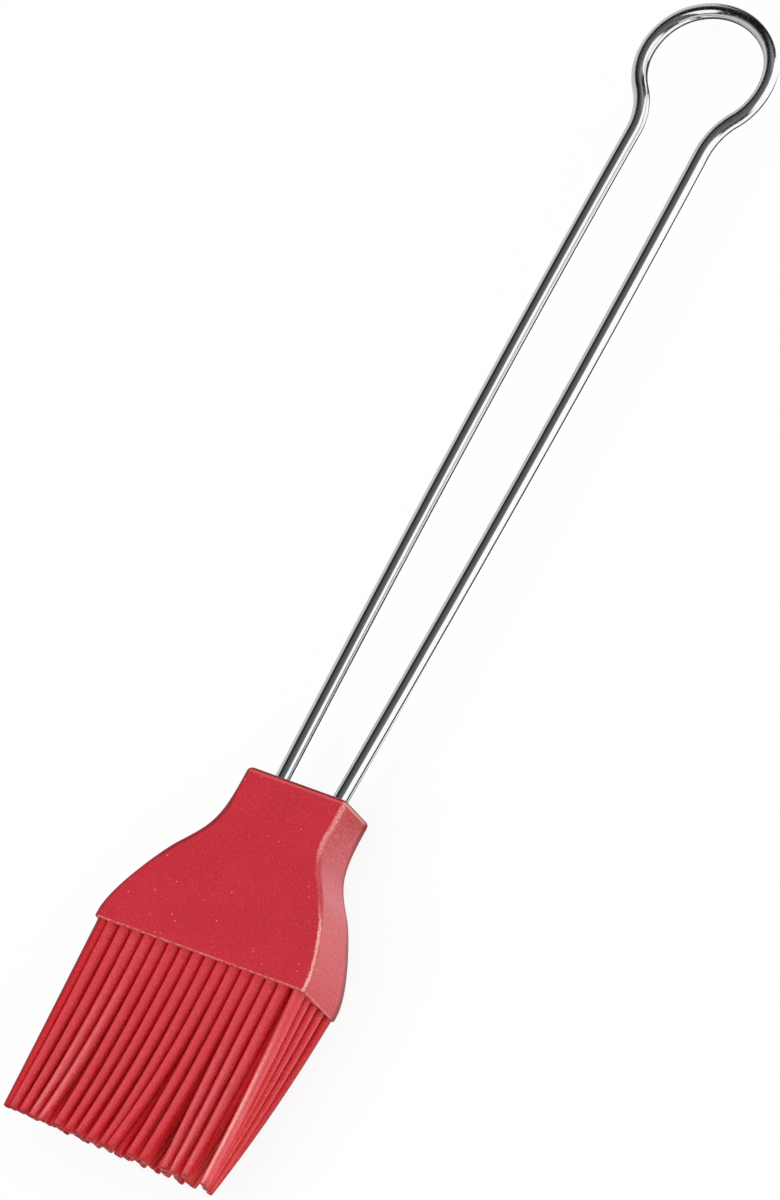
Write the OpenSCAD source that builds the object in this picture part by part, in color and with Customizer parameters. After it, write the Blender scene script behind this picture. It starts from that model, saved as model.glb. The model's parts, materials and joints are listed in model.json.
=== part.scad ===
// Pastry brush: a bent wire hairpin handle, a stiff insert that grips its two ends, and a silicone
// head with five rows of bristles. The brush lies flat: +Y runs up the handle, +Z is the front face.

/* [Wire handle] */
// Thickness of the wire
wire_d = 3.2; // [2.4:0.1:3.6]
// Length of the handle, from the top of the head to the outer top of the hanging loop
handle_length = 177.8; // [120:0.1:240]
// Spacing of the two legs where they meet the loop, between wire centres
leg_spacing = 17.1; // [16.4:0.1:18.6]
// How far each leg leans in towards the other over its length
leg_lean = 1.4; // [0.6:0.1:1.8]
// How deep each wire end goes into the head
wire_insertion = 22; // [14:0.5:25]

/* [Hanging loop] */
// Width of the loop, between wire centres
loop_w = 28.7; // [26.5:0.1:30]
// Radius of the broad arc at the top of the loop
loop_top_r = 16.6; // [14.5:0.1:18]
// Radius of the tighter arc at each side of the loop
loop_side_r = 11.9; // [9:0.1:12.2]
// Radius of the outward bend that leads each leg into the loop
loop_bend_r = 13.5; // [8:0.5:16]

/* [Silicone head] */
// Length of the head, from the mouth to the top of the neck
head_length = 39.1; // [34:0.1:46]
// Width of the head at the mouth
mouth_w = 51.7; // [44:0.1:60]
// Depth of the head at the mouth, front to back
mouth_depth = 14.3; // [13.8:0.1:15.2]
// Width of the neck
neck_w = 24.3; // [23:0.1:30]
// Depth of the neck, front to back
neck_depth = 10.4; // [9:0.1:11.5]
// Length of the straight neck above the flare
neck_length = 9.3; // [6:0.1:12]
// Length of the straight band round the mouth
rim_length = 1.5; // [0.6:0.1:3]
// Roundness of the belly above the rim
belly_reach = 9.5; // [7:0.5:12]
// Roundness of the throat below the neck
throat_reach = 4; // [3:0.5:7]
// Radius of the corners at the top of the neck
neck_corner_r = 1; // [0.4:0.1:1.8]

/* [Insert] */
// Thickness of the silicone over the insert
silicone_wall = 2; // [1.6:0.1:2.2]
// Height of the insert's lower edge above the mouth
insert_floor = 8; // [6:0.5:9]
// Diameter of the holes that lock the silicone to the insert
key_hole_d = 5; // [3:0.5:5.5]
// Distance of the outer lock holes from the middle
key_hole_x = 13; // [12:0.5:15]

/* [Bristles] */
// Bristles in each row
bristles_per_row = 17; // [13:1:18]
// Length of the bristles below the mouth
bristle_length = 42.2; // [25:0.1:55]
// Diameter of a bristle at its root
bristle_root_d = 2.3; // [1.8:0.1:2.4]
// Diameter of a bristle at its tip
bristle_tip_d = 1.4; // [1:0.1:1.5]
// Silicone left outside the outer bristles at the mouth
rim_margin = 0.4; // [0.35:0.05:0.6]
// How far each row's tips lean in, for each row away from the middle
row_lean = 0.8; // [0:0.1:0.9]
// How far the outermost bristles' tips lean in sideways
side_lean = 0.8; // [0:0.1:1.6]

/* [Hidden] */
$fn = 96;

rows = 5;             // bristle rows from the front face to the back face
wire_fit = 0.02;      // gap round the wire in its sockets
end_gap = 0.3;        // gap past the end of the wire in its socket
root_fit = 0.15;      // gap round a bristle's root in its groove
root_drop = 0.7;      // distance of the bristles' bending line below the mouth
over = 1;             // how far a cut runs past the surface it cuts
weld = 0.02;          // how far the sleeves between the wire's stretches stand proud of it
weld_length = 0.8;    // length of those sleeves
curve_steps = 24;     // flats along each flare curve
red = [0.78, 0.17, 0.23];

// Legs: each one is a very shallow arc, upright at the loop and leaning in at the head.
wire_r = wire_d / 2;
leg_x = leg_spacing / 2;

// Loop: a broad top arc and two tighter side arcs that meet it in line. The side arcs run down
// until they meet the outward bends of the legs in line.
side_x = loop_w / 2 - loop_side_r;
side_drop = sqrt(pow(loop_top_r - loop_side_r, 2) - pow(side_x, 2));
shoulder = atan2(side_drop, side_x);
bend_x = leg_x + loop_bend_r;
bend_turn = acos((bend_x - side_x) / (loop_side_r + loop_bend_r));
loop_top_y = head_length + handle_length;
top_centre_y = loop_top_y - wire_r - loop_top_r;
side_y = top_centre_y + side_drop;
leg_end_y = side_y - (loop_side_r + loop_bend_r) * sin(bend_turn);
leg_rise = leg_end_y - head_length;
leg_arc_r = (pow(leg_rise, 2) + pow(leg_lean, 2)) / (2 * leg_lean);
leg_angle = asin(leg_rise / leg_arc_r);
entry_x = leg_x - leg_lean;

// Bristle field: the rows fill the mouth's depth and the columns fill its width.
root_r = bristle_root_d / 2;
tip_r = bristle_tip_d / 2;
groove_r = root_r + root_fit;
row_pitch = (mouth_depth - 2 * rim_margin - bristle_root_d) / (rows - 1);
column_pitch = (mouth_w - 2 * rim_margin - bristle_root_d) / (bristles_per_row - 1);
groove_length = mouth_w - 2 * (rim_margin - root_fit);
reach = bristle_length - root_drop;
middle_column = (bristles_per_row - 1) / 2;
middle_row = (rows + 1) / 2;

insert_top = head_length - silicone_wall;
insert_t = neck_depth - 2 * silicone_wall;
key_hole_y = insert_floor + key_hole_d / 2 + 2;

// One coordinate of a cubic curve from a to d that leaves a along b and reaches d along c.
function curve(a, b, c, d, t) =
    a * pow(1 - t, 3) + 3 * b * t * pow(1 - t, 2) + 3 * c * t * t * (1 - t) + d * pow(t, 3);

// Half of the head's outline, from the mouth up to the neck: half the width against the height.
function flare(mouth, neck) = [for (i = [0 : curve_steps]) let (t = i / curve_steps)
    [curve(mouth, mouth, neck, neck, t),
     curve(rim_length, rim_length + belly_reach,
           head_length - neck_length - throat_reach, head_length - neck_length, t)]];

// The flare with a square mouth below and the neck's rounded corner above.
function half_outline(mouth, neck) = concat(
    [[mouth, 0]],
    flare(mouth, neck),
    [for (a = [0 : 15 : 90])
        [neck - neck_corner_r * (1 - cos(a)), head_length - neck_corner_r * (1 - sin(a))]]);

// Puts the model on its base: lowest point at zero, middle of its length over the origin.
module placed() {
    translate([0, (bristle_length - loop_top_y) / 2, mouth_depth / 2]) children();
}

// The head's whole outline, the same on both sides of the Y axis.
module outline(mouth, neck) {
    half = half_outline(mouth, neck);
    polygon(concat(half, [for (i = [len(half) - 1 : -1 : 0]) [-half[i].x, half[i].y]]));
}

// A stretch of bent wire in the XY plane, turning about its centre.
module bend(x, y, radius, from, sweep) {
    translate([x, y, 0]) rotate(from) rotate_extrude(angle = sweep)
        translate([radius, 0]) circle(wire_r);
}

// A rod that runs down from a leg's entry point at the top of the head, in line with the leg.
module leg_rod(radius, above, below) {
    translate([entry_x, head_length, 0]) rotate([90, 0, -leg_angle])
        translate([0, 0, -above]) cylinder(r = radius, h = above + below);
}

// A hair-thin sleeve that makes two stretches of wire one solid where they meet in line, at an
// angle round a centre.
module weld_sleeve(x, y, radius, angle) {
    translate([x, y, 0]) rotate(angle) translate([radius, 0, 0]) rotate([90, 0, 0])
        cylinder(r = wire_r + weld, h = weld_length, center = true);
}

module wire_half() {
    leg_centre_x = leg_x - leg_arc_r;
    leg_rod(wire_r, 0, wire_insertion);
    weld_sleeve(leg_centre_x, leg_end_y, leg_arc_r, -leg_angle);
    bend(leg_centre_x, leg_end_y, leg_arc_r, -leg_angle, leg_angle);
    weld_sleeve(leg_centre_x, leg_end_y, leg_arc_r, 0);
    bend(bend_x, leg_end_y, loop_bend_r, 180 - bend_turn, bend_turn);
    weld_sleeve(side_x, side_y, loop_side_r, -bend_turn);
    bend(side_x, side_y, loop_side_r, -bend_turn, bend_turn + shoulder);
    weld_sleeve(side_x, side_y, loop_side_r, shoulder);
}

module wire_handle() {
    color("silver") placed() {
        wire_half();
        mirror([1, 0, 0]) wire_half();
        bend(0, top_centre_y, loop_top_r, shoulder, 180 - 2 * shoulder);
    }
}

// The solid shape of the insert: a plate that follows the head's outline inside its wall.
module insert_plate() {
    difference() {
        linear_extrude(insert_t, center = true) intersection() {
            outline(mouth_w / 2 - silicone_wall, neck_w / 2 - silicone_wall);
            translate([-mouth_w / 2, insert_floor]) square([mouth_w, insert_top - insert_floor]);
        }
        for (x = [-key_hole_x, 0, key_hole_x])
            translate([x, key_hole_y, 0]) cylinder(d = key_hole_d, h = insert_t + over, center = true);
    }
}

module head_core() {
    color("ivory") placed() difference() {
        insert_plate();
        for (side = [0, 1])
            mirror([side, 0, 0]) leg_rod(wire_r + wire_fit, over, wire_insertion + end_gap);
    }
}

module head_block() {
    intersection() {
        linear_extrude(mouth_depth + over, center = true) outline(mouth_w / 2, neck_w / 2);
        rotate([0, -90, 0]) linear_extrude(mouth_w + over, center = true)
            outline(mouth_depth / 2, neck_depth / 2);
    }
}

module silicone_head() {
    color(red) placed() difference() {
        head_block();
        insert_plate();
        for (side = [0, 1])
            mirror([side, 0, 0]) leg_rod(wire_r + wire_fit, over, silicone_wall + over);
        for (row = [1 : rows])
            translate([0, -root_drop, row_z(row)]) rotate([0, 90, 0])
                cylinder(r = groove_r, h = groove_length, center = true);
    }
}

// Height of a row's bending line: row 1 is at the front face.
function row_z(row) = (middle_row - row) * row_pitch;

// One bristle along +Z from its bending point: a domed root, a taper and a rounded tip.
module bristle(length) {
    rotate_extrude() {
        polygon([[0, 0], [root_r, 0], [tip_r, length - tip_r], [0, length - tip_r]]);
        intersection() {
            circle(root_r);
            translate([0, -root_r]) square(root_r);
        }
        translate([0, length - tip_r]) intersection() {
            circle(tip_r);
            square(tip_r);
        }
    }
}

module bristle_row(row) {
    row_tilt = asin((middle_row - row) * row_lean / reach);
    color(red) placed() translate([0, -root_drop, row_z(row)])
        for (column = [0 : bristles_per_row - 1]) {
            side = (column - middle_column) / middle_column;
            side_tilt = asin(side * side_lean / reach);
            translate([(column - middle_column) * column_pitch, 0, 0])
                rotate([90 + row_tilt, 0, 0]) rotate([0, -side_tilt, 0])
                    bristle(reach / (cos(row_tilt) * cos(side_tilt)));
        }
}

wire_handle();
head_core();
silicone_head();
bristle_row(1);  // bristle_row_1
bristle_row(2);  // bristle_row_2
bristle_row(3);  // bristle_row_3
bristle_row(4);  // bristle_row_4
bristle_row(5);  // bristle_row_5
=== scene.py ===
import json
import math

import bpy
import numpy as np
from mathutils import Matrix, Vector


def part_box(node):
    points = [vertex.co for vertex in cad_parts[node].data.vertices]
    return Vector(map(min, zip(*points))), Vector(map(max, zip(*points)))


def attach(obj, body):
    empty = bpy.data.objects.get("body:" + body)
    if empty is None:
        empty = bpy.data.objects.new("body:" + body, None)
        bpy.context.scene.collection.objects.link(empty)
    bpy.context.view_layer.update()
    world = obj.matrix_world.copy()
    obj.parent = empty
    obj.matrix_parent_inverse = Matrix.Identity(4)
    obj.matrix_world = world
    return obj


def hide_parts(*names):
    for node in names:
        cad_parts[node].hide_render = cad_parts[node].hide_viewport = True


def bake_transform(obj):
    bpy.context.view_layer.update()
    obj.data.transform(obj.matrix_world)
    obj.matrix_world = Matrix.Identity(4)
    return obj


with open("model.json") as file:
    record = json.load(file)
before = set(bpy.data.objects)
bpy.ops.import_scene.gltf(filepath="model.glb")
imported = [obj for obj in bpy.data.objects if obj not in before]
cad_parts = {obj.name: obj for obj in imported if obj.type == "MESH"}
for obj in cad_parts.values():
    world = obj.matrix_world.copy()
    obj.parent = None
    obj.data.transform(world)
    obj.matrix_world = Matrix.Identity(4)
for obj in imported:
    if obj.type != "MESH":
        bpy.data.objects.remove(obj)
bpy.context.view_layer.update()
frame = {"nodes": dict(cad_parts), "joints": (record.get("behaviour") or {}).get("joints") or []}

mm = 0.001  # shapes are worked out in millimetres and put into Blender in metres


def boxInMm(node):
    low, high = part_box(node)
    return np.array(low) / mm, np.array(high) / mm


headLow, headHigh = boxInMm("silicone_head")
wireHigh = boxInMm("wire_handle")[1]
mouthY = headLow[1]                      # the face that the bristles come out of
neckY = headHigh[1]                      # the top of the head
midZ = (headLow[2] + headHigh[2]) / 2    # the plane of the wire
hingeZ = {joint["child"]: joint["pos_m"][2] / mm for joint in frame["joints"]}
print("frame: mouth at y", round(mouthY, 2), "mm, neck at y", round(neckY, 2), "mm")


def addObject(name, data):
    obj = bpy.data.objects.new(name, data)
    bpy.context.scene.collection.objects.link(obj)
    return obj


# Camera: a long lens from the front right, rolled so that the handle leans across the picture.

camera = {
    "azimuth": 67.75,        # degrees round from the tips' end towards +X
    "elevation": 52.85,      # degrees above the floor
    "roll": -43.22,          # degrees the camera is turned about its own axis
    "lens": 1000,            # long enough that near and far keep one scale
    "sensor": 36,
    "clip": (0.1, 50),
    "frameHeight": 230.81,   # mm that the picture's height takes in at the brush
    "aimRight": -7.11,       # mm from the middle of the brush to the picture's centre
    "aimUp": -3.80,
}


def addCamera(spec):
    a, e = math.radians(spec["azimuth"]), math.radians(spec["elevation"])
    back = Vector((math.sin(a) * math.cos(e), -math.cos(a) * math.cos(e), math.sin(e)))
    turn = back.to_track_quat("Z", "Y").to_matrix() @ Matrix.Rotation(math.radians(spec["roll"]), 3, "Z")
    aim = Vector((0, 0, midZ)) + turn @ Vector((spec["aimRight"], spec["aimUp"], 0))
    distance = spec["frameHeight"] * spec["lens"] / spec["sensor"]
    data = bpy.data.cameras.new("camera")
    data.lens = spec["lens"]
    data.sensor_width = spec["sensor"]
    data.clip_start, data.clip_end = spec["clip"]
    obj = addObject("camera", data)
    obj.matrix_world = Matrix.LocRotScale((aim + back * distance) * mm, turn.to_quaternion(), None)
    bpy.context.scene.camera = obj


addCamera(camera)
print("camera: set")


def tubeMesh(name, grid, poles, values):
    # grid[k, i, j] is place j on ring i of tube k. Quads join each ring to the next, and fans join the
    # first and last ring to the tube's two poles, so every tube is closed. values are numbers or vectors
    # kept for the material: each pole takes the mean of its ring.
    tubes, rings, sides = grid.shape[:3]
    here = np.arange(tubes * rings * sides).reshape(tubes, rings, sides)
    beside = np.roll(here, -1, axis=2)
    quads = np.stack([here[:, :-1], beside[:, :-1], beside[:, 1:], here[:, 1:]], -1).reshape(-1, 4)
    pole = here.size + np.arange(2 * tubes).reshape(tubes, 2, 1) + np.zeros(sides, int)
    firstFan = np.stack([pole[:, 0], beside[:, 0], here[:, 0]], -1).reshape(-1, 3)
    lastFan = np.stack([pole[:, 1], here[:, -1], beside[:, -1]], -1).reshape(-1, 3)
    points = np.concatenate([grid.reshape(-1, 3), poles.reshape(-1, 3)]) * mm
    mesh = bpy.data.meshes.new(name)
    mesh.from_pydata(points.tolist(), [], quads.tolist() + firstFan.tolist() + lastFan.tolist())
    mesh.polygons.foreach_set("use_smooth", np.ones(len(mesh.polygons), bool))
    for label, value in values.items():
        ends = value[:, [0, -1]].mean(axis=2)
        flat = np.concatenate([value.reshape(here.size, -1), ends.reshape(2 * tubes, -1)])
        kind, field = ("FLOAT_VECTOR", "vector") if value.ndim == 4 else ("FLOAT", "value")
        kept = mesh.attributes.new(label, kind, "POINT")
        kept.data.foreach_set(field, flat.astype(np.float32).ravel())
    mesh.update()
    return addObject(name, mesh)


def joined(*parts):
    # Numbers that belong together, as the last axis of one array.
    return np.stack(np.broadcast_arrays(*parts), -1)


def bezier(a, b, c, d, t):
    # (1-t)^3 a + 3t(1-t)^2 b + 3t^2(1-t) c + t^3 d
    return a * (1 - t) ** 3 + 3 * b * t * (1 - t) ** 2 + 3 * c * t ** 2 * (1 - t) + d * t ** 3


def hump(value, middle, width):
    # exp(-((value - middle) / width)^2)
    return np.exp(-((value - middle) / width) ** 2)


def unit(v):
    return v / np.linalg.norm(v, axis=-1, keepdims=True)


class Value:
    # A socket that can be written into an expression: each operation adds one Math node to its tree.
    def __init__(self, tree, socket):
        self.tree = tree
        self.socket = socket

    def math(self, operation, *terms):
        return addNode(self.tree, "ShaderNodeMath", {"operation": operation}, dict(enumerate(terms)))

    def __add__(self, other):
        return self.math("ADD", self, other)

    def __radd__(self, other):
        return self.math("ADD", other, self)

    def __sub__(self, other):
        return self.math("SUBTRACT", self, other)

    def __rsub__(self, other):
        return self.math("SUBTRACT", other, self)

    def __mul__(self, other):
        return self.math("MULTIPLY", self, other)

    def __rmul__(self, other):
        return self.math("MULTIPLY", other, self)

    def __truediv__(self, other):
        return self.math("DIVIDE", self, other)

    def __pow__(self, other):
        return self.math("POWER", self, other)

    def most(self, other):
        return self.math("MAXIMUM", self, other)

    def least(self, other):
        return self.math("MINIMUM", self, other)

    def band(self, low, high, atLow=0.0, atHigh=1.0):
        # Smooth step from atLow at low to atHigh at high. low may be the greater one.
        settings = {"interpolation_type": "SMOOTHSTEP"}
        sockets = {0: self, 1: low, 2: high, 3: atLow, 4: atHigh}
        return addNode(self.tree, "ShaderNodeMapRange", settings, sockets)


def addNode(tree, kind, settings=None, sockets=None, out=0):
    # Adds one node: its settings first, then the numbers or links of its sockets. Gives one of its
    # outputs, if it has any.
    node = tree.nodes.new(kind)
    for name, value in (settings or {}).items():
        setattr(node, name, value)
    for key, value in (sockets or {}).items():
        if isinstance(value, Value):
            tree.links.new(value.socket, node.inputs[key])
        elif isinstance(value, tuple) and len(value) == 3 and len(node.inputs[key].default_value) == 4:
            node.inputs[key].default_value = (*value, 1)
        else:
            node.inputs[key].default_value = value
    return Value(tree, node.outputs[out]) if len(node.outputs) else None


def newMaterial(name, build):
    # build(tree) gives the surface shader.
    material = bpy.data.materials.new(name)
    material.use_nodes = True
    tree = material.node_tree
    tree.nodes.clear()
    addNode(tree, "ShaderNodeOutputMaterial", None, {"Surface": build(tree)})
    return material


def mixColor(factor, a, b):
    # a where the factor is 0, b where it is 1.
    settings = {"data_type": "RGBA"}
    return addNode(factor.tree, "ShaderNodeMix", settings, {0: factor, 6: a, 7: b}, 2)


def split(place):
    # The three numbers of a vector.
    first = addNode(place.tree, "ShaderNodeSeparateXYZ", None, {0: place})
    return [Value(place.tree, out) for out in first.socket.node.outputs]


def stretched(place, factors):
    # The place with each of its three numbers multiplied.
    return addNode(place.tree, "ShaderNodeVectorMath", {"operation": "MULTIPLY"}, {0: place, 1: factors})


def objectPlace(tree):
    return addNode(tree, "ShaderNodeTexCoord", None, None, 3)


def objectMm(tree):
    # Object coordinates in millimetres.
    return stretched(objectPlace(tree), (1 / mm, 1 / mm, 1 / mm))


def meshNumber(tree, name):
    # A number kept on the mesh.
    return addNode(tree, "ShaderNodeAttribute", {"attribute_name": name}, None, 2)


def meshVector(tree, name):
    # A vector kept on the mesh.
    return addNode(tree, "ShaderNodeAttribute", {"attribute_name": name}, None, 1)


def noise(place, scale, detail, roughness=0.5):
    # An uneven number round 0.5, about 1 / scale mm from one lump to the next.
    sockets = {"Vector": place, "Scale": scale, "Detail": detail, "Roughness": roughness}
    return addNode(place.tree, "ShaderNodeTexNoise", None, sockets)


def specks(place, spacing, radius, share):
    # Round specks: one to a cell of the given spacing in mm, kept in a share of the cells.
    sockets = {"Vector": place, "Scale": 1 / spacing}
    near, cell = (addNode(place.tree, "ShaderNodeTexVoronoi", None, sockets, k) for k in (0, 1))
    pick = addNode(place.tree, "ShaderNodeSeparateColor", None, {0: cell})
    return near.band(radius / spacing, 0.4 * radius / spacing) * pick.band(1 - share, 1.02 - share)


def surface(spec, color, roughness, height):
    # The shader of one finish. height makes the bump, and spec["fixed"] has the sockets that stay even.
    bump = addNode(height.tree, "ShaderNodeBump", None,
                   {"Strength": spec["bump"], "Distance": 0.0001, "Height": height})
    sockets = {"Base Color": color, "Roughness": roughness, "Normal": bump, **spec["fixed"]}
    return addNode(height.tree, "ShaderNodeBsdfPrincipled", None, sockets)


# Wire handle: one length of round wire, bent to two legs and an oval loop.

wire = {
    "legAtHead": 7.04,       # mm from the middle to a leg's centre where it enters the head
    "legAtLoop": 8.38,       # and where it meets the loop
    "leanAtHead": 4.0,       # how fast the leg spreads at the head, in mm over its length
    "leanAtLoop": -2.15,     # and at the loop, where it comes back in
    "loopWidth": 28.75,      # between wire centres
    "topRadius": 16.6,
    "sideRadius": 11.9,
    "bendRadius": 13.5,
    "handleLean": (-0.2, 0.17),   # sideways offset of the legs at the head and at the loop
    "loopOffset": -0.22,          # and of the loop itself
    "insertion": 22.0,       # how far each end goes into the head
    "endDome": 0.4,          # how far the middle of each end stands out
    "legSteps": 120,
    "insideSteps": 8,
    "arcSteps": (24, 48, 32),     # in the outward bend, the side and the top
    "sides": 48,
}


def wirePath(spec):
    # Half of the centreline: a leg whose x is a cubic curve of the height, then three arcs that meet in
    # line, each x = cx + r cos a, y = cy + r sin a. The other half is its mirror image, and the whole is
    # shifted sideways a little.
    radius = wireHigh[2] - midZ
    sideX = spec["loopWidth"] / 2 - spec["sideRadius"]
    sideDrop = math.sqrt((spec["topRadius"] - spec["sideRadius"]) ** 2 - sideX ** 2)
    shoulder = math.atan2(sideDrop, sideX)
    bendX = spec["legAtLoop"] + spec["bendRadius"]
    bendTurn = math.acos((bendX - sideX) / (spec["sideRadius"] + spec["bendRadius"]))
    topY = wireHigh[1] - radius - spec["topRadius"]
    sideY = topY + sideDrop
    legEnd = sideY - (spec["sideRadius"] + spec["bendRadius"]) * math.sin(bendTurn)

    t = np.linspace(0, 1, spec["legSteps"])
    spread = bezier(spec["legAtHead"], spec["legAtHead"] + spec["leanAtHead"] / 3,
                    spec["legAtLoop"] - spec["leanAtLoop"] / 3, spec["legAtLoop"], t)
    leg = np.stack([spread, neckY + (legEnd - neckY) * t], 1)
    inward = (leg[0] - leg[1]) / (leg[1] - leg[0])[1]
    depth = spec["insertion"] * np.linspace(1, 0, spec["insideSteps"], endpoint=False)[:, None]
    inside = leg[0] + depth * inward

    def arc(x, y, r, start, end, steps):
        a = np.linspace(start, end, steps + 1)[1:]
        return np.stack([x + r * np.cos(a), y + r * np.sin(a)], 1)

    bendSteps, sideSteps, topSteps = spec["arcSteps"]
    half = np.concatenate([
        inside, leg,
        arc(bendX, legEnd, spec["bendRadius"], math.pi, math.pi - bendTurn, bendSteps),
        arc(sideX, sideY, spec["sideRadius"], -bendTurn, shoulder, sideSteps),
        arc(0, topY, spec["topRadius"], shoulder, math.pi / 2, topSteps),
    ])
    path = np.concatenate([half[:-1], half[::-1] * [-1, 1]])
    start, end = spec["handleLean"]
    climb = ((path[:, 1] - neckY) / (legEnd - neckY)).clip(0, 1)
    over = ((path[:, 1] - legEnd) / (sideY - legEnd)).clip(0, 1)
    path[:, 0] += start + (end - start) * climb + (spec["loopOffset"] - end) * over ** 2 * (3 - 2 * over)
    return np.column_stack([path, np.full(len(path), midZ)]), radius


def makeWire(spec):
    # Circle carried along the centreline: point = path + r(cos a · side + sin a · up), where side is at
    # right angles to the path in its plane. Each end has a low dome. The material gets the length along
    # the wire, the place on the circle, and how tight the bend is.
    path, radius = wirePath(spec)
    along = unit(np.gradient(path, axis=0))
    up = np.array([0.0, 0.0, 1.0])
    side = np.cross(up, along)
    a = np.linspace(0, 2 * math.pi, spec["sides"], endpoint=False)
    ring = np.cos(a)[:, None] * side[:, None] + np.sin(a)[:, None] * up
    length = np.concatenate([[0], np.cumsum(np.linalg.norm(np.diff(path, axis=0), axis=1))])
    turn = np.linalg.norm(np.gradient(along, axis=0), axis=1) / np.gradient(length)
    grid = path[:, None] + radius * ring
    poles = np.stack([path[0] - along[0] * spec["endDome"], path[-1] + along[-1] * spec["endDome"]])
    place = joined(length[:, None], radius * np.cos(a), radius * np.sin(a))
    bend = np.broadcast_to((turn * spec["bendRadius"])[:, None], grid.shape[:2])
    return tubeMesh("handle_wire", grid[None], poles[None], {"wirePlace": place[None], "bend": bend[None]})


handleWire = makeWire(wire)
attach(handleWire, "handle_and_head")
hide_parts("wire_handle")
print("wire: made")


# Silicone head: a flat flared block with soft edges.

head = {
    "shoulder": (17.99, 19.75),   # where the flare turns from belly to throat: half width, height
    "slope": -0.81,               # half width lost for each mm of height there
    "rim": 1.3,                   # height of the straight rim
    "bellyPull": (5.2, 3.0),      # lengths of the curve's handles below the shoulder
    "throatPull": (6.9, 10.3),    # and above it
    "neckHalfWidth": 12.25,
    "neckStart": 36.8,            # height where the sides run straight up
    "neckHalfDepth": 5.25,
    "depthStart": 1.5,            # the front and back curve in from here
    "depthPull": (9.0, 6.7),
    "depthEnd": 31.5,             # to here
    "edge": 0.65,                 # radius of the long edges
    "edgeLimit": 0.9,             # and the most of it, as a share of the half side
    "rimEdge": 0.3,               # of the mouth's edge
    "topEdge": (1.0, 0.4),        # of the neck's top edge, at the sides and at front and back
    "socketDip": 0.35,            # how far the top sinks round each wire
    "socketFade": 0.6,
    "curveSteps": 200,
    "sectionSteps": (64, 20, 6),  # across, in depth and in each corner
    "bodyRings": 90,
    "roundRings": 6,
    "mouthRings": (0.1, 0.96, 6),     # the flat ends: from one share of the outline to another
    "neckRings": (0.985, 0.04, 34),
    "endsApart": (50, 5),         # what keeps the flat ends out of the edge marks, from edge and from rim
}


def headProfile(spec, height):
    # Half width and half depth at each height. Both come from cubic curves: the width from two, joined
    # at the shoulder, and the depth from one.
    t = np.linspace(0, 1, spec["curveSteps"])
    mouthHalfWidth, mouthHalfDepth = headHigh[0], headHigh[2] - midZ
    x, y = spec["shoulder"]
    run = np.array([spec["slope"], 1.0]) / math.hypot(spec["slope"], 1.0)
    low, high = spec["bellyPull"][1], spec["throatPull"][0]
    width = np.concatenate([
        bezier(mouthHalfWidth, mouthHalfWidth, x - low * run[0], x, t),
        bezier(x, x + high * run[0], spec["neckHalfWidth"], spec["neckHalfWidth"], t)])
    level = np.concatenate([
        bezier(spec["rim"], spec["rim"] + spec["bellyPull"][0], y - low * run[1], y, t),
        bezier(y, y + high * run[1], spec["neckStart"] - spec["throatPull"][1], spec["neckStart"], t)])
    depth = bezier(mouthHalfDepth, mouthHalfDepth, spec["neckHalfDepth"], spec["neckHalfDepth"], t)
    rise = bezier(spec["depthStart"], spec["depthStart"] + spec["depthPull"][0],
                  spec["depthEnd"] - spec["depthPull"][1], spec["depthEnd"], t)
    return np.interp(height, level, width), np.interp(height, rise, depth)


def roundedSection(acrossSteps, depthSteps, cornerSteps):
    # A rectangle with round corners, as four rows: reachX, reachZ, normalX, normalZ. With half sides a
    # and b and corner radius c, its points are (reachX (a - c) + normalX c, reachZ (b - c) + normalZ c).
    corners = [(1, 1), (1, -1), (-1, -1), (-1, 1)]
    rows = []
    for k, (sx, sz) in enumerate(corners):
        nextX, nextZ = corners[(k + 1) % 4]
        angle = math.pi / 2 * (k + np.linspace(0, 1, cornerSteps + 1))
        rows.append([np.full(len(angle), sx), np.full(len(angle), sz), np.sin(angle), np.cos(angle)])
        steps = depthSteps if k % 2 == 0 else acrossSteps
        share = (1 - np.cos(np.pi * np.arange(1, steps) / steps)) / 2
        flat = np.ones(steps - 1) * angle[-1]
        rows.append([sx + (nextX - sx) * share, sz + (nextZ - sz) * share, np.sin(flat), np.cos(flat)])
    return np.concatenate(rows, axis=1)


def headRings(spec, total):
    # Height, the two insets and the scale of each ring, from the mouth to the neck. The mouth's rim and
    # the neck's top are quarter rounds: height = r (1 - sin q), inset = r (1 - cos q). The flat ends are
    # the last ring shrunk towards the middle.
    rim, topX, topZ = spec["rimEdge"], *spec["topEdge"]
    quarter = np.radians(np.linspace(90, 0, spec["roundRings"]))
    rise, inset = 1 - np.sin(quarter), 1 - np.cos(quarter)
    body = np.linspace(rim, total - topX, spec["bodyRings"])[1:-1]
    bands = [
        (0, rim, rim, np.linspace(*spec["mouthRings"])),
        (rim * rise, rim * inset, rim * inset, 1),
        (body, 0, 0, 1),
        (total - topX * rise[::-1], topX * inset[::-1], topZ * inset[::-1], 1),
        (total, topX, topZ, np.linspace(*spec["neckRings"])),
    ]
    return np.concatenate([joined(*band) for band in bands]).T


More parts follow.
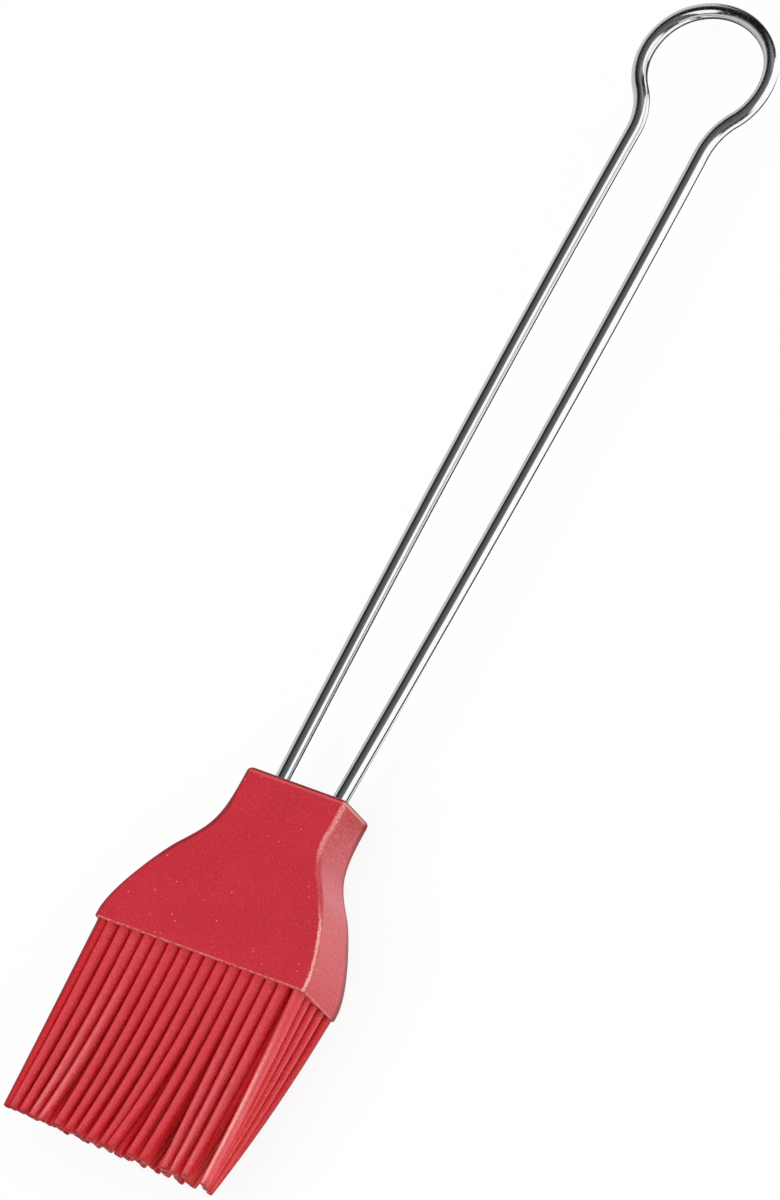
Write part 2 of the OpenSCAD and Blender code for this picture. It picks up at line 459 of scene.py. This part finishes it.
def makeHead(spec):
    # Rings of the rounded rectangle. The top sinks round each wire by dip · exp(-distance / fade). The
    # material gets the distance from the long edge, plus towards the front and minus towards the side
    # (large on the flat ends), and the distances from the mouth and from the top.
    total = neckY - mouthY
    height, insetX, insetZ, scale = headRings(spec, total)
    width, depth = headProfile(spec, height)
    height, scale = height[:, None], scale[:, None]
    reachX, reachZ, normalX, normalZ = roundedSection(*spec["sectionSteps"])
    a, b = (width - insetX)[:, None], (depth - insetZ)[:, None]
    c = np.minimum(spec["edge"], np.minimum(a, b) * spec["edgeLimit"])
    x = (reachX * (a - c) + normalX * c) * scale
    z = (reachZ * (b - c) + normalZ * c) * scale
    onTop = height >= total - 1e-6
    toWire = np.hypot(np.abs(x) - wire["legAtHead"], z) - (wireHigh[2] - midZ)
    sink = spec["socketDip"] * np.exp(-np.maximum(toWire, 0) / spec["socketFade"]) * onTop
    grid = joined(x, mouthY + height - sink, midZ + z)
    poles = np.array([[0, mouthY, midZ], [0, neckY, midZ]])

    fromEdge, fromRim = spec["endsApart"]
    corner = c * (np.arctan2(np.abs(normalZ), np.abs(normalX)) - math.pi / 4)
    edgeGap = (1 - np.abs(reachX)) * (a - c) + corner - (1 - np.abs(reachZ)) * (b - c)
    edgeGap = edgeGap + fromEdge * (scale < 1)
    inEnd = (1 - scale) * fromRim
    gaps = joined(edgeGap, height + inEnd * (height < 1), total - height + inEnd * onTop)
    return tubeMesh("head_silicone", grid[None], poles[None], {"edgeGap": gaps[None]})


headSilicone = makeHead(head)
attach(headSilicone, "handle_and_head")
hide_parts("silicone_head")
print("head: made")


# Bristles: rows of tapered rods that lean and part a little. Row 1 is the front one, and the right end is
# the one towards +X.

bristles = {
    "rows": 5,
    "perRow": 17,
    "firstX": 24.05,           # from the middle to the outer rods' centres at the root
    "rootRadius": 1.44,        # of the front row
    "rowsBehind": 0.85,        # share of it in the rows behind
    "endRods": 0.9,            # and further in the two end rods of each row
    "offCentre": -0.5,         # the rods between them stand this far to the side
    "tipRadius": 0.95,
    "rootFlare": 0.04,         # share by which the root widens where it meets the head
    "flareFade": 0.6,
    "rootDepth": 0.5,          # start inside the head
    "usualLength": 42,
    "lengthLeft": (40.6, 38.8),   # below the mouth, at the left end of the front and the back row
    "lengthRight": (41.6, 41.3),  # and at the right end
    "lengthSpread": 0.35,
    "depthLean": 1.0,          # how far each row's tips lean in, for each row away from the middle
    "depthLeanRight": 0.15,    # share by which they lean in more at the right end, and less at the left
    "leanPower": 1.2,
    "sway": -2.2,              # sideways lean of the tips in the middle of the tuft
    "rowSway": -0.45,          # further lean to the left at the right end, for each row behind the front
    "rowSwayMiddle": 0.55,     # share of it in the middle of the row
    "bendPower": 2.4,          # bending grows with this power of the distance from the root
    "bulge": 0.5,              # how far the right-hand rods bow out between root and tip
    "bulgeReach": 1.6,
    "bulgeLoss": 0.2,          # share lost for each row behind the front
    "nest": 2.2,               # how far the second row pushes in between the front rods there
    "nestReach": 4,
    "rootShift": {3: 0.15, 4: 0.3, 5: 0.6},   # how far out the right-hand end rods start, by row
    "rootShiftPower": 1.5,
    "partings": [              # where the tips stand apart: place, pull to each side, reach, rows deep
        {"at": -12.0, "left": 1.3, "right": 0.0, "reach": 6.0, "rows": 1.5},
        {"at": 6.0, "left": 2.4, "right": 0.0, "reach": 7.0, "rows": 2.0},
        {"at": 12.6, "left": 0.0, "right": 2.0, "reach": 6.0, "rows": 1.2},
    ],
    "wander": 0.22,            # uneven lean of single rods at the tip, sideways and in depth
    "rings": 26,
    "ringPower": 1.1,          # above 1, they stand closer near the root
    "sides": 16,
    "cap": [(0.97, 0.08), (0.88, 0.22), (0.66, 0.34)],   # the round tip: share of radius, distance
    "capPole": 0.05,
    "blend": 0.016,            # metres from the mouth over which a row takes up its bend
    "patternStep": (40, 6),    # mm that keep the rods' patterns apart, from row to row and rod to rod
    "dustAndHighlight": {(1, 4): 0.9, (1, 5): 1.0, (1, 14): 0.5, (1, 15): 0.8, (1, 16): 0.6, (1, 17): 1.0,
              (2, 17): 0.2, (3, 17): 0.2, (4, 17): 0.2},   # dust streaks and painted highlight lines, by row and rod, counted from the left
    "dustAndHighlightElsewhere": 0.1,
    "innerGlow": 3,            # the second row, seen in the gaps: a brighter red, painted light through the silicone
    # How much a place counts as outer, which places the painted sheen on the rods:
    "outerSides": 0.2,         # how much a rod's side counts as outer in the front and back rows
    "endSides": (-0.75, 1),    # and in the left and right end rods
    "secondRow": (0.72, 0.22),     # how much the second row's front counts, and the gain at the tips
    "leftFront": 0.75,         # share of it in the left end rods
    "rightFade": (0.38, 0.14),     # what the right end rods lose towards the tip, evenly and near it
    "ridgeHighlight": (1.42, 0.15),     # the painted highlight line along the front rods: angle and width
    "cornerHighlights": [(2.4, 1.42, 0.2), (0.3, 0.45, 0.15)],   # painted highlights on the right end rod: strength, angle, width
    # Painted shade lines on two corner rods and round every tip:
    "turnAway": 2.53,          # angle where a rod turns away from the front right
    "outlineReach": 0.5,
    "outlineFront": 2.5,       # how wide the painted shade line is on the front row's left end rod, in reaches
    "outlineBack": 1.9,        # and on the back row's right end rod
    "tipShade": (0.35, 0.9, 1, 1),
    "seed": 5,
}


def rodTips(spec, row, x, draw):
    # Sideways and inward travel of each rod's tip: a lean that is strongest in the middle, partings that
    # push the tips on each side away by pull · exp(-distance / reach) and close up towards the back rows,
    # and a small random part.
    across = x / spec["firstX"]
    middle = spec["rowSwayMiddle"]
    shift = spec["sway"] * (1 - across ** 4)
    shift = shift + spec["rowSway"] * (row - 1) * (middle + (1 - middle) * across)
    for part in spec["partings"]:
        push = np.where(x < part["at"], -part["left"], part["right"]) * math.exp(-(row - 1) / part["rows"])
        shift = shift + push * np.exp(-np.abs(x - part["at"]) / part["reach"])
    inward = (row - (spec["rows"] + 1) / 2) * spec["depthLean"] * (1 + spec["depthLeanRight"] * across)
    wander = draw.normal(0, spec["wander"], (2, len(x))).clip(-2 * spec["wander"], 2 * spec["wander"])
    return shift + wander[0], inward + wander[1]


def rodPaths(spec, row, x, draw):
    # Centrelines. At a share s of the length, each is root + s · length down, plus the tip's travel ·
    # s^power, plus a bow 4 s (1 - s) that fades away from the right end. The second row also bows
    # forwards there, and the end rods of the back rows start further out by shift · (1 - s)^power.
    # Gives the paths, s, and how far down each place is.
    shift, inward = rodTips(spec, row, x, draw)
    back = (row - 1) / (spec["rows"] - 1)
    left, right = (spec[end][0] * (1 - back) + spec[end][1] * back for end in ("lengthLeft", "lengthRight"))
    length = left + (right - left) * (x / spec["firstX"] + 1) / 2
    length = length - draw.uniform(0, 1, len(x)) * spec["lengthSpread"]
    share = np.linspace(0, 1, spec["rings"])[1:] ** spec["ringPower"]
    share = np.concatenate([[-spec["rootDepth"] / spec["usualLength"], 0], share])
    s = share.clip(0, 1)
    arch = 4 * s * (1 - s)
    fromEnd = x - spec["firstX"]
    nest = spec["nest"] * np.exp(fromEnd / spec["nestReach"]) * (row == 2)
    nest[-1] = 0
    bow = spec["bulge"] * np.exp(fromEnd / spec["bulgeReach"]) * (1 - spec["bulgeLoss"] * (row - 1)) + nest
    down = share * length[:, None]
    across = x[:, None] + shift[:, None] * s ** spec["bendPower"] + bow[:, None] * arch
    across[-1] += spec["rootShift"].get(row, 0.0) * (1 - s) ** spec["rootShiftPower"]
    depth = hingeZ[f"bristles_{row}"] + inward[:, None] * s ** spec["leanPower"] + nest[:, None] * arch
    return joined(across, mouthY - down, depth), s, down


def rodMarks(spec, row, ring, a, s, draw):
    # What the material gets. The tone and the dust are one number for each rod: the tone is random, and
    # raised on the second row's inner rods to pick a brighter red, painted light through the silicone.
    # outside is how
    # far a place faces out of the tuft: its normal · (sideways, frontways); it places the painted sheen.
    # The ridge is a hump over the angle a, the painted highlight line along a front rod. The shade line is
    # a ramp on both sides of an angle, painted shade on two corner rods, and it closes round every tip.
    rods, rings = ring.shape[:2]
    last = spec["rows"]
    toneAndGlow = draw.uniform(-1, 1, rods)
    toneAndGlow[1:-1] += spec["innerGlow"] * (row == 2)
    dust = np.array([spec["dustAndHighlight"].get((row, column + 1), spec["dustAndHighlightElsewhere"]) for column in range(rods)])

    sideways = np.full(rods, spec["outerSides"] if row in (1, last) else 0.0)
    sideways[[0, -1]] = spec["endSides"]
    frontways = np.full((rods, rings), {1: 1.0, last: -1.0}.get(row, 0.0))
    if row == 2:
        frontways[1:-1] = spec["secondRow"][0] + spec["secondRow"][1] * s ** 4
    frontways[0] *= spec["leftFront"]
    outside = ring[..., 0] * sideways[:, None, None] + ring[..., 2] * frontways[..., None]
    outside[-1] *= (1 - spec["rightFade"][0] * s - spec["rightFade"][1] * s ** 4)[:, None]

    ridgeHighlight, outline = np.zeros((2, *ring.shape[:3]))
    fromTurn = (a - spec["turnAway"]) / spec["outlineReach"]
    if row == 1:
        ridgeHighlight[:] = hump(a, *spec["ridgeHighlight"])
        ridgeHighlight[-1] = sum(strength * hump(a, *place) for strength, *place in spec["cornerHighlights"])
        outline[0] = (spec["outlineFront"] - np.abs(fromTurn)).clip(0, 1)
    if row == last:
        half = math.pi / spec["outlineReach"]
        outline[-1] = (spec["outlineBack"] - np.abs(fromTurn % (2 * half) - half)).clip(0, 1)
    tips = np.array(spec["tipShade"])[:, None]
    outline[:, -len(tips):] = np.maximum(outline[:, -len(tips):], tips)
    toneAndGlow, dust = (np.broadcast_to(v[:, None, None], ring.shape[:3]) for v in (toneAndGlow, dust))
    outside = outside.clip(0, None)
    return {"toneAndGlow": toneAndGlow, "dust": dust, "outside": outside, "ridgeHighlight": ridgeHighlight, "outline": outline}


def makeRow(spec, row, draw):
    # Circle carried along each centreline: point = path + r(cos a · side + sin a · front). The radius
    # tapers evenly from root to tip, with a flare exp(-distance / fade) at the root, and three more rings
    # and a pole make the tip round. The material gets each place on the rod, unrolled straight, and the
    # marks above.
    x = np.linspace(-spec["firstX"], spec["firstX"], spec["perRow"])
    x[1:-1] += spec["offCentre"]
    path, s, down = rodPaths(spec, row, x, draw)
    along = unit(np.gradient(path, axis=1))
    side = unit(np.array([1.0, 0, 0]) - along[..., :1] * along)
    front = np.cross(along, side)
    thick = np.full(len(x), 1.0 if row == 1 else spec["rowsBehind"])
    thick[[0, -1]] *= spec["endRods"]
    radius = spec["rootRadius"] + (spec["tipRadius"] - spec["rootRadius"]) * s
    flare = spec["rootFlare"] * np.exp(-np.maximum(down, 0) / spec["flareFade"])
    radius = radius * thick[:, None] * (1 + flare)

    capShare, capDrop = np.array(spec["cap"]).T
    path = np.concatenate([path, path[:, -1:] + along[:, -1:] * capDrop[:, None]], 1)
    radius = np.concatenate([radius, radius[:, -1:] * capShare], 1)
    down = np.concatenate([down, down[:, -1:] + capDrop], 1)
    side, front = (np.concatenate([v, np.repeat(v[:, -1:], len(capDrop), 1)], 1) for v in (side, front))
    s = np.append(s, np.ones(len(capDrop)))

    a = np.linspace(0, 2 * math.pi, spec["sides"], endpoint=False)
    ring = np.cos(a)[:, None] * side[:, :, None] + np.sin(a)[:, None] * front[:, :, None]
    grid = path[:, :, None] + radius[:, :, None, None] * ring
    poles = np.stack([path[:, 0], path[:, -1] + along[:, -1] * spec["capPole"]], 1)
    byRow, byRod = spec["patternStep"]
    start = (row * byRow + np.arange(len(x)) * byRod)[:, None, None]
    r = radius[..., None]
    place = joined(start + r * np.cos(a), r * np.sin(a), down[..., None])
    marks = rodMarks(spec, row, ring, a, s, draw)
    return tubeMesh(f"bristle_rods_{row}", grid, poles, {"bristlePlace": place, **marks})


draw = np.random.default_rng(bristles["seed"])
bristleRows = []
for row in range(1, bristles["rows"] + 1):
    rods = makeRow(bristles, row, draw)
    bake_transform(rods)
    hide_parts(f"bristle_row_{row}")
    bristleRows.append(rods)
print("bristles:", bristles["perRow"], "rods in each of", bristles["rows"], "rows")


# Finishes. Their patterns are measured in millimetres on the piece, and each noise is its scale, detail
# and roughness.

chrome = {
    "color": (0.52, 0.525, 0.53),
    "lineShade": 0.93,                 # fine drawing lines along the wire, as a share of the colour
    "lineStretch": (0.02, 5.0, 5.0),
    "lineNoise": (1.6, 3.0),
    "grain": (3.0, 3.0, 0.6),
    "roughness": 0.09,
    "lineRoughness": 0.05,
    "scuff": 0.25,                     # further roughness in the worn bends
    "bump": 0.03,
    "fixed": {"Metallic": 1.0},
}


def chromeShader(tree):
    place = meshVector(tree, "wirePlace")
    lines = noise(stretched(place, chrome["lineStretch"]), *chrome["lineNoise"])
    grain = noise(place, *chrome["grain"])
    worn = meshNumber(tree, "bend").band(0.3, 1.0) * grain.band(0.52, 0.7)
    rough = chrome["roughness"] + lines.band(0.35, 0.75) * chrome["lineRoughness"] + worn * chrome["scuff"]
    shade = tuple(chrome["lineShade"] * part for part in chrome["color"])
    color = mixColor(lines.band(0.3, 0.8), chrome["color"], shade)
    return surface(chrome, color, rough, lines)


silicone = {
    "color": (0.57, 0.004, 0.025),
    "deep": (0.53, 0.002, 0.018),
    "worn": (0.95, 0.58, 0.50),       # pale edge lines: wear and painted highlight where the rounded edges catch the light
    "outline": (0.20, 0.001, 0.006),  # painted shade where the edges turn away from the front right
    "speck": (0.85, 0.30, 0.30),
    "sideDustAndSheen": (0.46, 0.22, 0.21),   # the narrow faces look dusty and pale: dust and painted sheen
    "cloud": (0.12, 3.0),
    "grain": (3.6, 2.0, 0.7),
    "rough": (1.2, 3.0, 0.7),
    "mottle": (1.9, 3.0, 0.7),
    "specks": (1.6, 0.2, 0.4),        # spacing, radius, share of the cells
    "fineSpecks": (0.7, 0.13, 0.4),
    "edgeInset": 0.15,                # the pale line runs this far forward of the long edge's middle
    "waistInset": 0.5,                # and further forward at the waist
    "waist": (13, 18, 30, 34),        # where the waist starts, is full, starts to fade, and ends
    "belly": (19, 12),                # the pale line, wear and painted highlight, runs below the waist, fully from 12 mm down
    "throat": (24, 29),               # and about half as much above it, fully from 29 mm up
    "roughness": 0.48,
    "paleLineRoughness": 0.2,
    "bump": 0.4,
    "fixed": {"IOR": 1.42, "Subsurface Weight": 0.3, "Subsurface Radius": (1.0, 0.15, 0.15),
              "Subsurface Scale": 0.0015},
}


def siliconeShader(tree):
    place = objectMm(tree)
    across, _, up = split(place)
    edge, rim, top = split(meshVector(tree, "edgeGap"))
    cloud, grain, rough, mottle = (
        noise(place, *silicone[name]) for name in ("cloud", "grain", "rough", "mottle"))
    dust, fine = (specks(place, *silicone[name]) for name in ("specks", "fineSpecks"))

    # Pale edge lines, wear and painted highlight: edge is in mm from the line, rim and top are in mm from
    # the mouth and the neck's top.
    start, full, fade, end = silicone["waist"]
    waist = rim.band(start, full) * rim.band(end, fade)
    edge = edge - silicone["edgeInset"] - waist * silicone["waistInset"]
    side = edge.band(0.0, -0.6)                    # 1 on the narrow faces
    front = up.band(midZ - 1, midZ + 1)
    throat = rim.band(*silicone["throat"])
    # Painted highlight in the pale line: stronger on the right-hand edge, and along the belly and the
    # throat
    along = 0.12 + rim.band(*silicone["belly"]) * 0.88 + throat * 0.5
    right = across.band(-2, 2, 0.15, 1.0)
    ragged = (edge + (rough - 0.5) * 0.8) / (1 + throat * 0.5)    # wider and softer near the neck
    line = ragged.band(-0.5, -0.1) * ragged.band(0.55, 0.1) * along * right
    line = line * grain.band(0.3, 0.6, 0.45, 1.0)
    halo = edge.band(-2.2, -0.3) * edge.band(1.2, 0.3) * along * right    # specks gather round the line
    mouth = rim.band(0.42, 0.2) * rough.band(0.30, 0.6) * 0.4
    crown = top.band(1.15, 0.9) * top.band(0.4, 0.65) * (0.14 + side * 0.4)    # just below the neck's top
    # The pale marks, wear and painted highlight: the long edge's line, the mouth's edge and the line below
    # the neck's top
    worn = (line * front).most(mouth).most(crown) * grain.band(0.3, 0.6, 0.55, 1.0)

    # Painted shade lines: the far edge of the narrow face, the left edge of the front, and the neck's top.
    far = edge.band(-2.1, -1.4) * (1 - front) * 0.8
    left = edge.band(0.75, 0.35) * across.band(2, -2) * front * 0.75
    outline = far.most(left).most(top.band(0.6, 0.4) * 0.75)

    color = mixColor(cloud.band(0.35, 0.65) * 0.6, silicone["color"], silicone["deep"])
    color = mixColor(grain.band(0.46, 0.7) * 0.10, color, silicone["speck"])
    # Dust and painted sheen on the narrow faces, more towards the neck
    film = (0.04 + mottle.band(0.35, 0.65) * 0.26) * rim.band(8, 34, 0.85, 1.5)    # more towards the neck
    color = mixColor(side * film, color, silicone["sideDustAndSheen"])
    color = mixColor(dust.most(fine * (0.25 + side * 0.55).most(halo)) * 0.75, color, silicone["speck"])
    color = mixColor(worn * 0.9, color, silicone["worn"])
    color = mixColor(outline, color, silicone["outline"])
    roughness = silicone["roughness"] + worn * silicone["paleLineRoughness"]
    return surface(silicone, color, roughness, grain * 0.7 + rough * 0.3)


rod = {
    "color": (0.56, 0.001, 0.009),
    "deep": (0.52, 0.001, 0.006),
    "gap": (0.61, 0.0012, 0.009),     # the clean red between the rods, a little brighter: painted light through the silicone
    # painted light: the second row's inner rods, lit through the silicone
    "litThroughRed": (0.88, 0.002, 0.012),
    "sheen": (0.61, 0.036, 0.060),     # painted sheen on the outer faces, a little chalky
    # pale dust and specks; the painted highlight line takes this colour too
    "dust": (0.92, 0.42, 0.40),
    # painted shade: the dark line of two corner rods and round the tips
    "outline": (0.20, 0.001, 0.006),
    "filmStretch": (1.6, 1.6, 0.12),  # the film runs down the rods
    "film": (1.0, 4.0, 0.65),
    "grain": (4.0, 2.0, 0.6),
    "specks": (0.9, 0.2, 0.25),       # spacing, radius, share of the cells
    "fineSpecks": (0.4, 0.14, 0.35),
    "roughness": 0.48,
    "filmRoughness": 0.15,
    "bump": 0.3,
    "fixed": {"IOR": 1.42, "Specular IOR Level": 0.35, "Subsurface Weight": 0.85,
              "Subsurface Radius": (1.0, 0.08, 0.08), "Subsurface Scale": 0.003},
}


def rodShader(tree):
    place = meshVector(tree, "bristlePlace")
    toneAndGlow, dustAndHighlight, ridgeHighlight, outside, outline = (
        meshNumber(tree, name) for name in ("toneAndGlow", "dust", "ridgeHighlight", "outside", "outline"))
    down = split(place)[2]
    outside = outside.band(0.68, 0.96) * down.band(0.4, 2.4, 0.3, 1.0)    # less just below the mouth
    grain = noise(place, *rod["grain"])
    film = noise(stretched(place, rod["filmStretch"]), *rod["film"])
    speck = specks(place, *rod["specks"]) + specks(place, *rod["fineSpecks"]) * 0.6
    # Painted highlight: the pale line along a front rod's ridge, on the rods with dust
    line = ridgeHighlight * dustAndHighlight * down.band(4.0, 28.0, 0.12, 1.0) * grain.band(0.3, 0.6, 0.5, 1.0)
    dust = dustAndHighlight * film.band(0.42, 0.6) * down.band(14.0, 34.0, 0.05, 0.3) + (dustAndHighlight * 0.5 + 0.3) * speck

    color = mixColor(toneAndGlow.band(-1.0, 1.0) * 0.5, rod["color"], rod["deep"])
    # Painted light through the silicone: a brighter red between the rods, brighter still on the second
    # row's inner rods
    gap = mixColor(toneAndGlow.band(1.5, 2.0), rod["gap"], rod["litThroughRed"])
    # Painted sheen on the outer faces; elsewhere the clean red between the rods
    color = mixColor(outside, gap, color)
    color = mixColor(outside * film.band(0.3, 0.6, 0.8, 1.0), color, rod["sheen"])
    color = mixColor(grain.band(0.4, 0.7) * 0.12, color, rod["dust"])
    color = mixColor(dust.least(1.0) * 0.5, color, rod["dust"])
    color = mixColor((line * 1.1).least(1.0), color, rod["dust"])
    # Painted shade: the dark line of two corner rods and round every tip
    color = mixColor(outline * 0.9, color, rod["outline"])
    return surface(rod, color, rod["roughness"] + film * rod["filmRoughness"], grain)


nylon = {
    "color": (0.80, 0.78, 0.70),
    "shade": (0.70, 0.67, 0.58),
    "cloud": (0.25, 4.0),
    "grain": (6.0, 2.0),
    "roughness": 0.45,
    "cloudRoughness": 0.15,
    "bump": 0.15,
    "fixed": {},
}


def nylonShader(tree):
    place = objectMm(tree)
    cloud, grain = (noise(place, *nylon[name]) for name in ("cloud", "grain"))
    color = mixColor(cloud.band(0.3, 0.7), nylon["color"], nylon["shade"])
    return surface(nylon, color, nylon["roughness"] + cloud * nylon["cloudRoughness"], grain)


def dress(piece, material):
    piece.data.materials.clear()
    piece.data.materials.append(material)


dress(handleWire, newMaterial("chrome_wire", chromeShader))
dress(headSilicone, newMaterial("red_silicone", siliconeShader))
rodMaterial = newMaterial("red_silicone_rods", rodShader)
for rods in bristleRows:
    dress(rods, rodMaterial)
coreMaterial = newMaterial("nylon_insert", nylonShader)
for slot in frame["nodes"]["head_core"].material_slots:
    slot.material = coreMaterial
print("finishes: on")


# Studio: pale floor, white surroundings, soft boxes, and dark flags that only reflections see.

studio = {
    "ambient": 0.8,             # light from all round
    "floorColor": 0.98,
    "floorShade": 0.1,          # share of the floor that takes light and shadow
    "boxLevel": 1.9,            # radiance of the soft boxes
    "farLevel": 0.05,           # and of the dark card beyond the loop
    "cards": {                  # corner and two sides, in metres
        "floor": ((-2, -2, -0.0003), (4, 0, 0), (0, 4, 0)),
        "flag_above": ((-1.1, -1.55, 0.8), (2.0, 0, 0), (0, 3.6, 0)),
        "flag_far": ((-1.6, 1.9, -0.001), (2.6, 0, 0), (0, 0, 0.9)),
        "box_above": ((-0.44, -1.0, 0.79), (0.38, 0, 0), (0, 0.9, 0)),
        "box_right": ((1.2, -1.5, 0), (0, 3.8, 0), (0, 0, 1.3)),
        "bounce_floor": ((-0.011, -0.4, -0.0002), (1.18, 0, 0), (0, 2.2, 0)),
    },
    "lamps": {                  # place, width, height and level
        "light_right": ((1.3, 0.4, 0.42), 1.5, 0.82, 0.8),
        "light_above": ((-0.48, -0.4, 0.98), 0.3, 1.1, 3.4),
    },
    "patch": ((0.2, 0.95), (0.5, 0.4)),        # the flag's lighter patch: middle and reach, in metres
    "darkPatch": ((0.42, -1.1), (0.42, 0.4)),  # and its darker one
    "oval": ((1.0, 0.35), (1.4, 0.9)),         # and the bright oval on the right
    "shadeSide": (13.5, 5.2),   # mm from the wire to the shaded strip beside it, at the head and the loop
    "shadeWidth": (13.0, 6.5),
    "shadeFrom": 0.5,           # mm above the neck where it starts
    "shadeTo": 25,              # and below the loop's end where it is narrowest
    "shadeDepth": -0.1,
    "shadeLevel": 0.12,
}


def flatPiece(name, points, faces, build):
    # A sheet of the studio, in metres, that isn't part of the brush.
    mesh = bpy.data.meshes.new(name)
    mesh.from_pydata(points, [], faces)
    mesh.materials.append(newMaterial(name, build))
    obj = addObject(name, mesh)
    return obj


def card(name, build):
    # A flat rectangle: corner, corner + first, corner + first + second, corner + second.
    corner, first, second = (Vector(v) for v in studio["cards"][name])
    points = [corner, corner + first, corner + first + second, corner + second]
    return flatPiece(name, points, [(0, 1, 2, 3)], build)


def seenDirectly(tree):
    # 1 for what the camera sees, by itself or in a reflection, and 0 for light that bounces.
    direct, glossy, through = (addNode(tree, "ShaderNodeLightPath", None, None, f"Is {kind} Ray")
                               for kind in ("Camera", "Glossy", "Transmission"))
    return (direct + glossy + through).least(1.0)


def glow(tree, color, level=1.0):
    return addNode(tree, "ShaderNodeEmission", None, {"Color": color, "Strength": level})


def evenGlow(level):
    return lambda tree: glow(tree, (1, 1, 1), level)


def floorShader(tree):
    lit = addNode(tree, "ShaderNodeBsdfDiffuse", None, {"Color": (studio["floorColor"],) * 3})
    share = seenDirectly(tree) * (1 - studio["floorShade"])
    return addNode(tree, "ShaderNodeMixShader", None, {0: share, 1: lit, 2: glow(tree, (1, 1, 1))})


def ovalGap(x, y, middle, reach):
    # ((x - mx) / rx)^2 + ((y - my) / ry)^2, which is 1 on the oval's edge.
    return ((x - middle[0]) / reach[0]) ** 2 + ((y - middle[1]) / reach[1]) ** 2


def flagShader(tree):
    # Black on the left and greyer to the right, with a lighter patch over the loop and a darker one
    # beyond the tips.
    x, y, _ = split(objectPlace(tree))
    patch = ovalGap(x, y, *studio["patch"]).band(1.0, 0.1)
    dark = ovalGap(x, y, *studio["darkPatch"]).band(1.3, 0.5)
    level = 0.015 + x.band(-0.42, -0.12) * 0.13 + x.band(-0.1, 0.75) * 0.15 + patch * x.band(-0.3, 0) * 0.25
    level = level + x.band(-0.6, -1.05) * 0.5
    return glow(tree, level * y.band(1.2, 1.8, 1.0, 0.4) * (1 - dark * 0.6))


def softOval(tree):
    # A bright oval that fades to a dark rim.
    _, y, z = split(objectPlace(tree))
    level = ovalGap(y, z, *studio["oval"]).band(1.17, 0.72, 0.06, 1.0)
    return glow(tree, level, studio["boxLevel"])


def shadeBesideWire(spec):
    # A dark ribbon on the floor along the wire: edge = path + (side ± width/2) · away, where both get
    # smaller towards the loop. The wire mirrors it as the thin grey line along its near side.
    path, _ = wirePath(wire)
    path = path[path[:, 1] > neckY + spec["shadeFrom"]]
    share = ((path[:, 1] - neckY) / (wireHigh[1] - spec["shadeTo"] - neckY)).clip(0, 1)
    a = math.radians(camera["azimuth"])
    away = np.array([math.sin(a), -math.cos(a), 0])
    side, width = (near + (far - near) * share for near, far in (spec["shadeSide"], spec["shadeWidth"]))
    path[:, 2] = spec["shadeDepth"]
    edges = np.stack([path + (side + k * width)[:, None] * away for k in (-0.5, 0.5)], 1) * mm
    i = 2 * np.arange(len(path) - 1)
    faces = np.stack([i, i + 1, i + 3, i + 2], 1)
    return flatPiece("shade", edges.reshape(-1, 3).tolist(), faces.tolist(), evenGlow(spec["shadeLevel"]))


def addLamp(name, place, width, height, level):
    # An area light that faces the brush and whose face has the given level. Reflections see a card
    # instead.
    data = bpy.data.lights.new(name, "AREA")
    data.shape = "RECTANGLE"
    data.size, data.size_y = width, height
    data.energy = level * math.pi * width * height
    obj = addObject(name, data)
    obj.location = place
    obj.rotation_euler = Vector(place).to_track_quat("Z", "Y").to_euler()
    obj.visible_glossy = False


def addSurroundings(spec):
    world = bpy.data.worlds.new("surroundings")
    world.use_nodes = True
    tree = world.node_tree
    tree.nodes.clear()
    level = spec["ambient"] + seenDirectly(tree) * (1 - spec["ambient"])
    light = addNode(tree, "ShaderNodeBackground", None, {"Color": (1, 1, 1), "Strength": level})
    addNode(tree, "ShaderNodeOutputWorld", None, {"Surface": light})
    bpy.context.scene.world = world


def addStudio(spec):
    box = evenGlow(spec["boxLevel"])
    card("floor", floorShader)
    reflected = [
        card("flag_above", flagShader),
        card("flag_far", evenGlow(spec["farLevel"])),
        card("box_above", box),
        card("box_right", softOval),
        card("bounce_floor", box),
        shadeBesideWire(spec),
    ]
    for obj in reflected:      # only reflections see them
        obj.visible_camera = False
        obj.visible_diffuse = False
        obj.visible_transmission = False
        obj.visible_shadow = False
    addSurroundings(spec)
    for name, lamp in spec["lamps"].items():
        addLamp(name, *lamp)


addStudio(studio)
bpy.context.scene.view_settings.view_transform = "Standard"
print("studio: lit")
